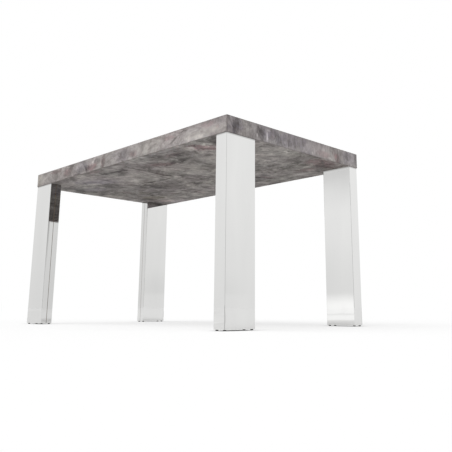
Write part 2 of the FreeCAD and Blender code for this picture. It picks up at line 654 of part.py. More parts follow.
def carriage_screw_set():
    """Pan-head screws through the cradles' tabs and the pinion's bracket into the bars."""
    spots = []
    tab_level = "places.rail_axis + sizes.cradle_sheet / 2 + sizes.cradle_screw"
    for way in ("-", "+"):
        for cradle in ("-", "+"):
            for shift in ("-", "+"):
                x = f"{cradle}places.cradle_offset {shift} sizes.cradle_width / 4"
                spots.append((way, x, "places.tab_face", tab_level, "sizes.cradle_sheet"))
    for shift in ("-", "+"):
        x = f"{shift}1 * (sizes.bracket_length / 2 - 2 * sizes.screw_head)"
        spots.append(("+", x, "places.bar_face - sizes.bracket_sheet", "places.rail_axis",
                      "sizes.bracket_sheet"))
    screws, shanks = [], []
    for number, (way, x, face, level, sheet) in enumerate(spots, start=1):
        inward, outward = (ALONG_MINUS_Y, ALONG_Y) if way == "+" else (ALONG_Y, ALONG_MINUS_Y)
        y = f"{way}({face})"
        head = cylinder(f"pan_head_{number}", "sizes.screw_head", "sizes.pan_height", x, y, level, inward)
        shank = cylinder(f"pan_shank_{number}", "sizes.screw_shank", f"{sheet} + sizes.bar_wall", x, y,
                         level, outward)
        screws.append(fuse(f"pan_screw_{number}", [head, shank]))
        shanks.append(shank)
    return screws, group("carriage_screw_holes", shanks)


def bars(screw_holes):
    low, high = "places.rail_axis - places.bar_half", "places.rail_axis + places.bar_half"
    for edge, way in (("front", "-"), ("back", "+")):
        near, far = f"{way}places.bar_face", f"{way}places.bar_back"
        wall = "sizes.bar_wall"
        inner_near, inner_far = f"{way}(places.bar_face + {wall})", f"{way}(places.bar_back - {wall})"
        outer = [(near, low), (far, low), (far, high), (near, high)]
        inner = [(inner_near, f"{low} + {wall}"), (inner_far, f"{low} + {wall}"),
                 (inner_far, f"{high} - {wall}"), (inner_near, f"{high} - {wall}")]
        blank = profile(f"{edge}_bar_blank", [outer, inner], ("-places.bar_end", "places.bar_end"))
        node(f"{edge}_bar", cut(f"{edge}_bar", blank, screw_holes))


def bar_shoes():
    shoes = []
    for edge, way in (("front", "-"), ("back", "+")):
        lining = trough(way, "places.flange_edge", "places.bar_back + sizes.liner_sheet",
                        "sizes.liner_sheet", "places.bar_half + sizes.liner_sheet", "sizes.liner_sheet")
        for half, side in (("left", "-"), ("right", "+")):
            shoes.append(profile(f"{edge}_shoe_{half}", [lining],
                                 span(side, "places.shoe_start", "places.bar_end")))
    node("bar_shoes", group("bar_shoes", shoes))


# ---------------------------------------------------------------- racks and pinion
def tooth_half_angle(radius):
    """Half the angle that a pinion's tooth takes up at a radius."""
    pitch, module = value("places.pitch_radius"), value("sizes.gear_module")
    thickness = math.pi * module / 2 - value("sizes.gear_backlash")
    roll = math.acos(min(1.0, pitch * math.cos(PRESSURE_ANGLE) / radius))
    involute = math.tan(PRESSURE_ANGLE) - PRESSURE_ANGLE - (math.tan(roll) - roll)
    return thickness / (2 * pitch) + involute


def pinion(bore):
    """Spur pinion on the axle, a tooth pointing straight up and one straight down."""
    pitch, module = value("places.pitch_radius"), value("sizes.gear_module")
    teeth = int(value("sizes.pinion_teeth"))
    root, tip = pitch - DEDENDUM * module, pitch + ADDENDUM * module
    base = max(root, pitch * math.cos(PRESSURE_ANGLE))
    radii = [root] + [base + (tip - base) * step / (FLANK_POINTS - 1) for step in range(FLANK_POINTS)]
    corners = []
    for tooth in range(teeth):
        middle = math.pi / 2 + 2 * math.pi * tooth / teeth
        flank = [(radius, tooth_half_angle(max(radius, base))) for radius in radii]
        for radius, half_angle in flank:
            corners.append((radius, middle - half_angle))
        for radius, half_angle in reversed(flank):
            corners.append((radius, middle + half_angle))
    points = [FreeCAD.Vector(radius * math.cos(angle), 0, radius * math.sin(angle))
              for radius, angle in corners]
    wheel = doc.addObject("Part::Feature", "pinion_blank")
    face = Part.Face(Part.makePolygon(points + points[:1]))
    wheel.Shape = face.extrude(FreeCAD.Vector(0, value("sizes.pinion_width"), 0))
    place(wheel, "0", "places.rack_middle - sizes.pinion_width / 2", "places.rail_axis")
    node("sync_pinion", cut("sync_pinion", wheel, bore))


def rack_blank(name):
    """The left half's rack, teeth up: fixed on its own half, free over the other one."""
    pitch, module = value("places.pitch_radius"), value("sizes.gear_module")
    pitch_line = value("places.rail_axis") - pitch
    root, tip = pitch_line - DEDENDUM * module, pitch_line + ADDENDUM * module
    floor, relief = value("places.hollow_floor"), value("sizes.rack_relief")
    spacing = math.pi * module
    slope = math.tan(PRESSURE_ANGLE)
    half_gap = (spacing / 2 + value("sizes.gear_backlash")) / 2
    first = -int(value("sizes.rack_overrun") / spacing)
    last = int(value("places.reach + sizes.rack_overrun") / spacing)
    start, end = -value("sizes.rack_anchor"), (last + 0.5) * spacing
    step = -value("sizes.channel_setback")
    points = [(start, floor), (step, floor), (step, floor + relief), (end, floor + relief), (end, tip)]
    for gap in range(last, first - 1, -1):
        top = half_gap + (tip - pitch_line) * slope
        bottom = half_gap - (pitch_line - root) * slope
        centre = gap * spacing
        points += [(centre + top, tip), (centre + bottom, root), (centre - bottom, root), (centre - top, tip)]
    points += [((first - 0.5) * spacing, tip), ((first - 0.5) * spacing, root), (start, root)]
    corners = [FreeCAD.Vector(x, 0, z) for x, z in points]
    bar = doc.addObject("Part::Feature", name)
    face = Part.Face(Part.makePolygon(corners + corners[:1]))
    bar.Shape = face.extrude(FreeCAD.Vector(0, value("sizes.rack_width"), 0))
    return bar


def rack_screw_set(half):
    """Two screws that hold a rack to its half's panel, drawn for the left half's rack."""
    root = "places.rail_axis - places.pitch_radius - sizes.gear_module"
    screws = []
    for number, x in enumerate(("-sizes.rack_screw_near", "-sizes.rack_screw_far"), start=1):
        name = f"{half}_{number}"
        head = cylinder(f"rack_screw_head_{name}", "sizes.screw_head", "sizes.pan_height", x,
                        "places.rack_middle", root)
        shank = cylinder(f"rack_screw_shank_{name}", "sizes.screw_shank",
                         f"{root} - places.hollow_floor + sizes.rack_screw_grip",
                         x, "places.rack_middle", root, DOWNWARD)
        screws.append(fuse(f"rack_screw_{name}", [head, shank]))
    return group(f"rack_screws_{half}", screws)


def racks():
    """Both racks; the right half's is the left one's turned over about the pinion's axle."""
    over = FreeCAD.Rotation(FreeCAD.Vector(0, 1, 0), 180)
    screws = {"left": rack_screw_set("left"), "right": rack_screw_set("right")}
    place(screws["right"], z="2 * places.rail_axis", turn=over)
    left = place(rack_blank("rack_blank_left"), y="places.rack_side")
    right = place(rack_blank("rack_blank_right"), y="places.rack_side", z="2 * places.rail_axis", turn=over)
    node("rack_left", cut("rack_left", left, screws["left"]))
    node("rack_right", cut("rack_right", right, screws["right"]))
    return screws


def pinion_bracket(screw_holes):
    """Plate on the back bar with the stud that the pinion turns on; returns clip and bore."""
    back = "places.bar_face - sizes.bracket_sheet"
    pinion_back = "places.rack_middle + sizes.pinion_width / 2 + sizes.end_play"
    pinion_front = "places.rack_middle - sizes.pinion_width / 2 - sizes.end_play"
    stud_tip = f"{pinion_front} - 2 * sizes.clip_sheet"
    level = "places.rail_axis"
    plate = box("bracket_plate", ("-sizes.bracket_length / 2", "sizes.bracket_length / 2"),
                (back, "places.bar_face"), (f"{level} - places.bar_half + sizes.cradle_sheet",
                                            f"{level} + places.bar_half - sizes.cradle_sheet"))
    shoulder = cylinder("bracket_shoulder", "sizes.axle_shoulder", f"{back} - ({pinion_back})", "0", back,
                        level, ALONG_MINUS_Y)
    stud = cylinder("bracket_stud", "sizes.axle_radius", f"{back} - ({stud_tip})", "0", back, level,
                    ALONG_MINUS_Y)
    blank = fuse("bracket_blank", [plate, shoulder, stud])
    node("pinion_bracket", cut("pinion_bracket", blank, screw_holes))
    clip = ring("pinion_clip", "sizes.axle_shoulder", "sizes.axle_radius", "sizes.clip_sheet", "0",
                pinion_front, level, ALONG_MINUS_Y)
    bore = cylinder("pinion_bore", "sizes.axle_radius + sizes.axle_play", "sizes.rack_width", "0",
                    "places.rack_side", level, ALONG_Y)
    return clip, bore


# ---------------------------------------------------------------- leaf
def cradles(screw_holes):
    """Strips that hang from the bars and pass between the racks.

    They hold the folded leaf; the open leaf lies on the upper edges of their tabs.
    """
    floor, inner_floor = "places.cradle_floor", "places.leaf_floor"
    arm_low, arm_high = ("places.rail_axis - sizes.cradle_sheet / 2",
                         "places.rail_axis + sizes.cradle_sheet / 2")
    right_side = [("places.cradle_outside", floor), ("places.cradle_outside", arm_low),
                  ("places.bar_face", arm_low), ("places.bar_face", "places.tab_top"),
                  ("places.tab_face", "places.tab_top"), ("places.tab_face", arm_high),
                  ("places.cradle_inside", arm_high), ("places.cradle_inside", inner_floor)]
    left_side = [(f"-{across}", up) for across, up in reversed(right_side)]
    for name, side in (("left", "-"), ("right", "+")):
        along = span(side, "places.cradle_offset - sizes.cradle_width / 2",
                     "places.cradle_offset + sizes.cradle_width / 2")
        blank = profile(f"leaf_cradle_blank_{name}", [right_side + left_side], along)
        node(f"leaf_cradle_{name}", cut(f"leaf_cradle_{name}", blank, screw_holes))


def leaf():
    """The leaf's two boards, folded face to face, and the hinges along their front edges."""
    fold = "(places.leaf_floor + sizes.leaf_board)"
    along = ("-places.leaf_half_length", "places.leaf_half_length")
    across = ("-places.leaf_side", "places.leaf_side")
    recesses, hinges, pins = [], [], []
    for number, way in enumerate(("-1", "0", "1"), start=1):
        x = f"{way} * places.hinge_offset"
        ends = (f"{x} - sizes.hinge_length / 2", f"{x} + sizes.hinge_length / 2")
        front = "-places.leaf_side"
        levels = (f"{fold} - sizes.hinge_sheet", f"{fold} + sizes.hinge_sheet")
        recesses.append(box(f"hinge_recess_{number}",
                            (f"{ends[0]} - sizes.hinge_play", f"{ends[1]} + sizes.hinge_play"),
                            (front, f"{front} + sizes.hinge_plate + sizes.hinge_play"), levels))
        axis = f"{front} - sizes.hinge_knuckle"
        plates = box(f"hinge_plates_{number}", ends, (axis, f"{front} + sizes.hinge_plate"), levels)
        knuckle = cylinder(f"hinge_knuckle_{number}", "sizes.hinge_knuckle", "sizes.hinge_length",
                           ends[0], axis, fold, ALONG_X)
        pin = cylinder(f"hinge_pin_{number}", "sizes.hinge_pin", "sizes.hinge_length", ends[0], axis,
                       fold, ALONG_X)
        hinges.append(cut(f"hinge_{number}", fuse(f"hinge_blank_{number}", [plates, knuckle]), pin))
        pins.append(pin)
    sunk = group("hinge_recesses", recesses)
    lower = box("leaf_lower_blank", along, across, ("places.leaf_floor", fold))
    upper = box("leaf_upper_blank", along, across, (fold, f"{fold} + sizes.leaf_board"))
    node("leaf_board_lower", cut("leaf_board_lower", lower, sunk))
    node("leaf_board_upper", cut("leaf_board_upper", upper, sunk))
    node("leaf_hinges", group("leaf_hinges", hinges + pins))


# ---------------------------------------------------------------- the table
def build():
    trim = slab_outline()
    rod_holes = legs()
    rack_screws = racks()
    for half, side in (("left", "-"), ("right", "+")):
        screws = channel_screw_set(half, side)
        screw_group = group(f"channel_screws_{half}", screws)
        slab_boards(half, side, trim, rod_holes[half], rack_screws[half])
        slab_frame(half, side, screw_group)
        channels(half, side, screw_group)
        node(f"runner_screws_{half}", group(f"runner_screws_{half}", screws + [rack_screws[half]]))
    split_fittings()

    pan_screws, screw_holes = carriage_screw_set()
    bars(screw_holes)
    bar_shoes()
    clip, bore = pinion_bracket(screw_holes)
    pinion(bore)
    cradles(screw_holes)
    leaf()
    node("carriage_fasteners", group("carriage_fasteners", pan_screws + [clip]))


def check():
    """Stops if any object failed to recompute, or a sub-part has no sound solid."""
    for item in doc.Objects:
        if "Invalid" in item.State or "Error" in item.State:
            raise RuntimeError(f"{item.Label} did not recompute: {item.State}")
    for name, piece in nodes.items():
        if piece.Shape.isNull() or not piece.Shape.isValid() or not piece.Shape.Solids:
            raise RuntimeError(f"{name} has no valid solid")


build()
doc.recompute()
check()
os.makedirs("parts", exist_ok=True)
for name, piece in nodes.items():
    piece.Shape.exportStep(f"parts/{name}.step")
print(len(nodes), "nodes")
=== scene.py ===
"""Looks of the extendable dining table: a stone-look slab on four posts of polished sheet."""
import math

import bpy
from mathutils import Euler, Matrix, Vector

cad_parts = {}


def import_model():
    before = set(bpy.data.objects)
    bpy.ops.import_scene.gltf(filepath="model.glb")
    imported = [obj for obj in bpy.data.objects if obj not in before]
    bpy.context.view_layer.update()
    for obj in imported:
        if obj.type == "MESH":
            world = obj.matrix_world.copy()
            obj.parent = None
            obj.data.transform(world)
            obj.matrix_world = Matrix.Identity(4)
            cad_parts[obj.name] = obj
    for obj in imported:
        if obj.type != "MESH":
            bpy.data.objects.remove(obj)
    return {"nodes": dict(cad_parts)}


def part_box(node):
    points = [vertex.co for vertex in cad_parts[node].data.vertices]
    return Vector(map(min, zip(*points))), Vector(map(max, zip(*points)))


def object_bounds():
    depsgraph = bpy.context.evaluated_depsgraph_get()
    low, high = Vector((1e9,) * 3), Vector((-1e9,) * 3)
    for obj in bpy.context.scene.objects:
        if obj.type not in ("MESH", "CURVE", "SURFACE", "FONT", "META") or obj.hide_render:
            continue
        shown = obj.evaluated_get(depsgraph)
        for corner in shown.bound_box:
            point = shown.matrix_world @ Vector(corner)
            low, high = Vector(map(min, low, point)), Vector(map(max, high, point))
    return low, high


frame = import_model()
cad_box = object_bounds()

scene = bpy.context.scene
low, high = (Vector(corner) for corner in cad_box)
LENGTH, WIDTH, HEIGHT = high.x - low.x, high.y - low.y, high.z
SLAB_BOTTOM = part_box("front_edge_left")[0].z
# The posts' sides, as distances from the table's middle. Two posts stand with their wide sides
# along the table; the other two are turned, with theirs across it.
post_low, post_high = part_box("leg_sheet_front_left")
turned_low, turned_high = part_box("leg_sheet_back_left")
OUTER_X, OUTER_Y = -post_low.x, -post_low.y
INNER_X, INNER_Y = -post_high.x, -post_high.y
TURNED_X, TURNED_Y = -turned_high.x, turned_low.y
SEAM_X, SEAM_Y = (OUTER_X + TURNED_X) / 2, (OUTER_Y + INNER_Y) / 2
# height above which the inner sides mirror the slab
MIRRORED_SLAB = 0.49


# ---------------------------------------------------------------- camera
def camera():
    """A low eye in front of the right-hand end, looking slightly up along the diagonal."""
    data = bpy.data.cameras.new("camera")
    data.sensor_width = 36.0
    data.lens = 47.447
    data.shift_x = -0.0648
    data.shift_y = -0.1148
    data.dof.use_dof = False
    data.clip_start = 0.01
    data.clip_end = 200.0
    eye = bpy.data.objects.new("camera", data)
    scene.collection.objects.link(eye)
    eye.location = (2.2023, -1.7812, 0.0742)
    eye.rotation_euler = Euler((math.radians(90.0 + 12.69), 0.0, math.radians(44.21)), "XYZ")
    scene.camera = eye


# ---------------------------------------------------------------- node helpers
class Nodes:
    """Short ways to add shader nodes to one tree; a socket may take a link or a plain value."""

    def __init__(self, tree):
        self.tree = tree
        tree.nodes.clear()

    def add(self, kind, inputs=None, **settings):
        node = self.tree.nodes.new(kind)
        for name, setting in settings.items():
            setattr(node, name, setting)
        for name, value in (inputs or {}).items():
            self.put(node.inputs[name], value)
        return node

    def put(self, socket, value):
        if isinstance(value, bpy.types.NodeSocket):
            self.tree.links.new(value, socket)
        else:
            socket.default_value = value

    def math(self, operation, a, b=None, clamp=False):
        node = self.add("ShaderNodeMath", operation=operation, use_clamp=clamp)
        self.put(node.inputs[0], a)
        if b is not None:
            self.put(node.inputs[1], b)
        return node.outputs[0]

    def times(self, first, *others):
        for other in others:
            first = self.math("MULTIPLY", first, other)
        return first

    def largest(self, first, *others):
        for other in others:
            first = self.math("MAXIMUM", first, other)
        return first

    def vector(self, operation, a, b=None):
        node = self.add("ShaderNodeVectorMath", operation=operation)
        self.put(node.inputs[0], a)
        if b is not None:
            self.put(node.inputs[1], b)
        return node.outputs["Value" if operation in ("LENGTH", "DOT_PRODUCT") else "Vector"]

    def place(self):
        """Position on the object, in metres, at rest."""
        return self.add("ShaderNodeTexCoord").outputs["Object"]

    def noise(self, vector, scale, detail=4.0, roughness=0.5, color=False):
        node = self.add("ShaderNodeTexNoise", {"Vector": vector, "Scale": scale, "Detail": detail,
                                               "Roughness": roughness})
        return node.outputs["Color" if color else "Fac"]

    def smooth(self, value, start, end, to_start=0.0, to_end=1.0):
        node = self.add("ShaderNodeMapRange", {"Value": value, "From Min": start, "From Max": end,
                                               "To Min": to_start, "To Max": to_end},
                        interpolation_type="SMOOTHSTEP")
        return node.outputs["Result"]

    def ramp(self, value, stops):
        node = self.add("ShaderNodeValToRGB", {"Fac": value})
        elements = node.color_ramp.elements
        elements[0].position, elements[0].color = stops[0][0], (*stops[0][1], 1.0)
        elements[1].position, elements[1].color = stops[-1][0], (*stops[-1][1], 1.0)
        for position, color in stops[1:-1]:
            elements.new(position).color = (*color, 1.0)
        return node.outputs["Color"]

    def mix(self, factor, a, b, blend="MIX"):
        node = self.add("ShaderNodeMix", data_type="RGBA", blend_type=blend)
        self.put(node.inputs["Factor"], factor)
        self.put(node.inputs[6], a)
        self.put(node.inputs[7], b)
        return node.outputs[2]

    def split(self, vector):
        return self.add("ShaderNodeSeparateXYZ", {"Vector": vector}).outputs

    def warp(self, vector, scale, amount):
        """Pushes a position about by a smooth noise."""
        push = self.noise(vector, scale, 3.0, 0.55, color=True)
        push = self.vector("SUBTRACT", push, (0.5, 0.5, 0.5))
        push = self.vector("MULTIPLY", push, (amount, amount, amount))
        return self.vector("ADD", vector, push)

    def surface(self, color, roughness, metallic=0.0, height=None, bump=0.1, depth=0.001,
                normal=None, **plain):
        """The finished surface, with a bump that is given as a height between 0 and 1."""
        shader = self.add("ShaderNodeBsdfPrincipled", {"Base Color": color, "Roughness": roughness,
                                                       "Metallic": metallic})
        for name, value in plain.items():
            shader.inputs[name.replace("_", " ")].default_value = value
        if height is not None:
            relief = self.add("ShaderNodeBump", {"Height": height, "Strength": bump, "Distance": depth})
            if normal is not None:
                self.put(relief.inputs["Normal"], normal)
            self.put(shader.inputs["Normal"], relief.outputs["Normal"])
        output = self.add("ShaderNodeOutputMaterial")
        self.put(output.inputs["Surface"], shader.outputs[0])
        return shader


def new_material(name):
    material = bpy.data.materials.new(name)
    material.use_nodes = True
    return material, Nodes(material.node_tree)


def srgb(red, green, blue):
    """A colour given as on screen, 0 to 255, in the linear values that shaders use."""
    def linear(level):
        level /= 255.0
        return level / 12.92 if level <= 0.04045 else ((level + 0.055) / 1.055) ** 2.4
    return (linear(red), linear(green), linear(blue))


def rgba(color):
    return (*color, 1.0)


# ---------------------------------------------------------------- stone laminate
DARK, LIGHT, MAROON, LILAC, OLIVE = "dark", "light", "maroon", "lilac", "olive"
# Stains of the printed stone, in metres: what, centre, radii, turn in degrees, strength. On the
# broad faces the centre is (x, y); on the edges it is (distance along from the front right corner,
# height over the slab's middle).
UNDER_STAINS = [
    (DARK, (0.264, -0.242), (0.085, 0.022), -12, 1.0),
    (DARK, (0.277, -0.327), (0.060, 0.022), 10, 0.7),
    (DARK, (0.380, -0.300), (0.040, 0.030), 30, 0.5),
    (DARK, (0.037, -0.255), (0.020, 0.028), 0, 0.9),
    (DARK, (-0.012, -0.190), (0.012, 0.120), 2, 1.1),
    (DARK, (-0.170, -0.318), (0.115, 0.014), 8, 1.3),
    (DARK, (-0.085, -0.058), (0.070, 0.012), 4, 0.8),
    (DARK, (-0.270, -0.013), (0.060, 0.045), 35, 0.9),
    (DARK, (-0.220, -0.072), (0.045, 0.020), 30, 1.1),
    (DARK, (-0.390, 0.115), (0.070, 0.013), -5, 0.8),
    (DARK, (-0.460, 0.100), (0.022, 0.060), 10, 0.6),
    (DARK, (-0.030, 0.105), (0.040, 0.022), 0, 0.8),
    (DARK, (-0.080, 0.190), (0.025, 0.045), 0, 0.7),
    (DARK, (0.060, -0.030), (0.060, 0.030), 40, 0.6),
    (DARK, (-0.620, 0.330), (0.090, 0.040), 50, 0.7),
    (DARK, (0.485, -0.322), (0.050, 0.034), 0, 1.2),
    (DARK, (0.477, -0.235), (0.030, 0.022), 40, 0.8),
    (DARK, (-0.012, -0.080), (0.018, 0.036), 0, 1.4),
    (DARK, (0.380, 0.175), (0.035, 0.028), 0, 0.8),
    (DARK, (-0.490, 0.095), (0.018, 0.060), 0, 1.2),
    (DARK, (-0.508, 0.230), (0.035, 0.030), 0, 0.9),
    (DARK, (-0.275, 0.175), (0.045, 0.016), 15, 1.0),
    (DARK, (-0.190, -0.020), (0.045, 0.018), 10, 0.9),
    (DARK, (-0.270, 0.095), (0.045, 0.016), 0, 0.8),
    (DARK, (-0.070, 0.133), (0.050, 0.030), 0, 0.7),
    (DARK, (-0.500, -0.225), (0.060, 0.014), 10, 0.8),
    (DARK, (0.300, 0.215), (0.040, 0.030), 0, 0.7),
    (DARK, (0.450, 0.140), (0.060, 0.024), 15, 0.6),
    (DARK, (0.530, 0.030), (0.030, 0.040), 0, 0.5),
    (DARK, (0.050, 0.040), (0.060, 0.016), 0, 0.5),
    (DARK, (0.685, -0.015), (0.022, 0.024), 0, 1.1),
    (LIGHT, (0.130, -0.327), (0.045, 0.018), 20, 1.0),
    (LIGHT, (-0.035, -0.362), (0.050, 0.022), 0, 1.4),
    (LIGHT, (-0.110, -0.227), (0.055, 0.035), 0, 0.6),
    (LIGHT, (-0.217, -0.160), (0.075, 0.045), 20, 0.8),
    (LIGHT, (-0.360, -0.085), (0.050, 0.030), 30, 0.8),
    (LIGHT, (0.280, -0.120), (0.080, 0.040), 30, 0.5),
    (LIGHT, (0.640, -0.053), (0.055, 0.007), 3, 1.0),
    (LIGHT, (0.590, 0.215), (0.060, 0.008), -12, 1.1),
    (LIGHT, (0.450, 0.315), (0.050, 0.022), 0, 1.2),
    (LIGHT, (-0.040, 0.160), (0.020, 0.020), 0, 0.6),
    (LIGHT, (-0.560, 0.300), (0.045, 0.020), 25, 0.8),
    (LIGHT, (-0.180, 0.300), (0.080, 0.040), 0, 0.4),
    (LIGHT, (-0.376, -0.193), (0.030, 0.022), 0, 0.9),
    (LIGHT, (-0.170, -0.085), (0.030, 0.018), 0, 0.9),
    (LIGHT, (0.397, 0.327), (0.035, 0.018), 0, 0.9),
    (LIGHT, (0.384, -0.187), (0.050, 0.030), 20, 0.7),
    (LIGHT, (-0.363, 0.187), (0.040, 0.025), 0, 0.6),
    (LIGHT, (0.650, 0.100), (0.035, 0.030), 0, 0.6),
    (LIGHT, (-0.323, -0.375), (0.060, 0.014), 0, 0.7),
    (LIGHT, (0.304, -0.265), (0.018, 0.016), 0, 1.1),
    (LIGHT, (0.050, -0.225), (0.022, 0.020), 0, 0.8),
    (LIGHT, (-0.063, -0.187), (0.022, 0.030), 0, 0.9),
    (LIGHT, (0.357, -0.165), (0.050, 0.040), 0, 0.6),
    (LIGHT, (-0.560, -0.135), (0.060, 0.030), 30, 0.6),
    (LIGHT, (-0.350, 0.320), (0.050, 0.030), 0, 0.7),
    (LIGHT, (-0.603, 0.320), (0.040, 0.030), 0, 0.6),
    (LIGHT, (-0.045, 0.070), (0.030, 0.012), 0, 0.6),
    (LIGHT, (0.690, 0.330), (0.040, 0.050), 0, 0.5),
    (LIGHT, (0.250, -0.385), (0.200, 0.010), 0, 0.6),
    (MAROON, (0.490, -0.310), (0.060, 0.040), 40, 1.3),
    (MAROON, (0.300, -0.325), (0.060, 0.020), 0, 0.6),
    (MAROON, (0.150, -0.255), (0.075, 0.024), 25, 1.0),
    (MAROON, (-0.012, -0.140), (0.018, 0.040), 0, 0.7),
    (MAROON, (0.660, 0.220), (0.055, 0.090), 0, 1.0),
    (MAROON, (0.540, 0.270), (0.050, 0.030), 0, 0.7),
    (MAROON, (0.297, 0.253), (0.018, 0.040), -20, 1.0),
    (MAROON, (-0.510, 0.000), (0.022, 0.050), -15, 0.7),
    (MAROON, (-0.350, 0.200), (0.040, 0.020), 20, 0.4),
    (MAROON, (-0.503, 0.247), (0.025, 0.020), 0, 1.0),
    (MAROON, (-0.565, 0.310), (0.050, 0.030), 20, 0.6),
    (MAROON, (-0.210, 0.280), (0.020, 0.030), 0, 0.5),
    (MAROON, (-0.200, -0.380), (0.050, 0.018), 0, 0.6),
    (LILAC, (-0.390, -0.250), (0.120, 0.050), 32, 0.9),
    (LILAC, (-0.560, -0.150), (0.080, 0.040), 32, 0.8),
    (LILAC, (-0.520, 0.370), (0.080, 0.030), 0, 0.8),
    (OLIVE, (-0.530, 0.200), (0.090, 0.060), 30, 1.0),
    (OLIVE, (-0.460, 0.080), (0.040, 0.050), 0, 0.6),
]
LONG_STAINS = [
    (LIGHT, (0.055, -0.008), (0.050, 0.020), 0, 0.8),
    (LIGHT, (0.175, -0.004), (0.065, 0.030), 0, 1.1),
    (LIGHT, (0.175, -0.022), (0.075, 0.012), 0, 0.9),
    (LIGHT, (0.485, -0.006), (0.020, 0.030), 0, 0.8),
    (LIGHT, (0.100, 0.006), (0.032, 0.018), 0, 0.9),
    (LIGHT, (1.335, 0.010), (0.030, 0.010), -20, 0.9),
    (LIGHT, (0.400, -0.004), (0.070, 0.020), 0, 0.5),
    (LIGHT, (0.300, 0.016), (0.040, 0.012), 0, 0.4),
    (LIGHT, (0.545, 0.000), (0.024, 0.020), 0, 0.6),
    (LIGHT, (0.894, 0.008), (0.014, 0.007), 10, 1.0),
    (LIGHT, (1.030, 0.008), (0.045, 0.016), 0, 0.4),
    (LIGHT, (1.130, 0.018), (0.016, 0.010), 0, 0.9),
    (LIGHT, (1.330, -0.010), (0.050, 0.018), 0, 0.7),
    (LIGHT, (1.300, 0.014), (0.030, 0.012), 0, 0.5),
    (LIGHT, (1.390, 0.000), (0.030, 0.030), 0, 0.5),
    (DARK, (0.241, 0.020), (0.026, 0.0035), -4, 1.1),
    (DARK, (0.302, -0.004), (0.030, 0.005), -25, 0.9),
    (DARK, (0.135, -0.006), (0.010, 0.012), 20, 0.5),
    (DARK, (0.450, -0.006), (0.035, 0.006), -12, 0.6),
    (DARK, (0.587, -0.012), (0.022, 0.012), 0, 0.9),
    (DARK, (0.640, -0.006), (0.050, 0.022), 0, 0.5),
    (DARK, (0.692, -0.012), (0.028, 0.014), 0, 0.9),
    (DARK, (0.807, 0.000), (0.016, 0.040), 8, 0.8),
    (DARK, (0.900, -0.016), (0.050, 0.015), 0, 1.0),
    (DARK, (0.860, 0.008), (0.034, 0.016), 0, 0.9),
    (DARK, (1.000, -0.012), (0.060, 0.018), 0, 0.8),
    (DARK, (1.190, 0.008), (0.015, 0.018), 0, 0.7),
    (DARK, (1.090, 0.014), (0.014, 0.012), 0, 0.4),
    (LIGHT, (1.110, -0.002), (0.045, 0.024), 0, 0.4),
    (DARK, (1.240, 0.018), (0.055, 0.010), 0, 0.9),
    (MAROON, (0.900, -0.014), (0.045, 0.020), 0, 1.0),
    (MAROON, (0.811, -0.002), (0.016, 0.030), 0, 0.6),
    (MAROON, (0.100, 0.016), (0.040, 0.012), 0, 0.6),
    (MAROON, (0.330, 0.010), (0.030, 0.010), 0, 0.5),
    (MAROON, (0.050, -0.004), (0.010, 0.008), 0, 0.4),
    (MAROON, (0.575, -0.008), (0.030, 0.014), 0, 0.6),
    (MAROON, (1.130, -0.004), (0.040, 0.020), 0, 0.7),
    (MAROON, (1.240, 0.018), (0.060, 0.010), 0, 0.6),
    (LILAC, (1.010, 0.000), (0.060, 0.030), 0, 0.7),
    (LILAC, (0.680, 0.000), (0.070, 0.030), 0, 0.4),
    (OLIVE, (1.410, 0.000), (0.030, 0.040), 0, 0.3),
    (OLIVE, (0.120, -0.012), (0.120, 0.020), 0, 0.3),
]
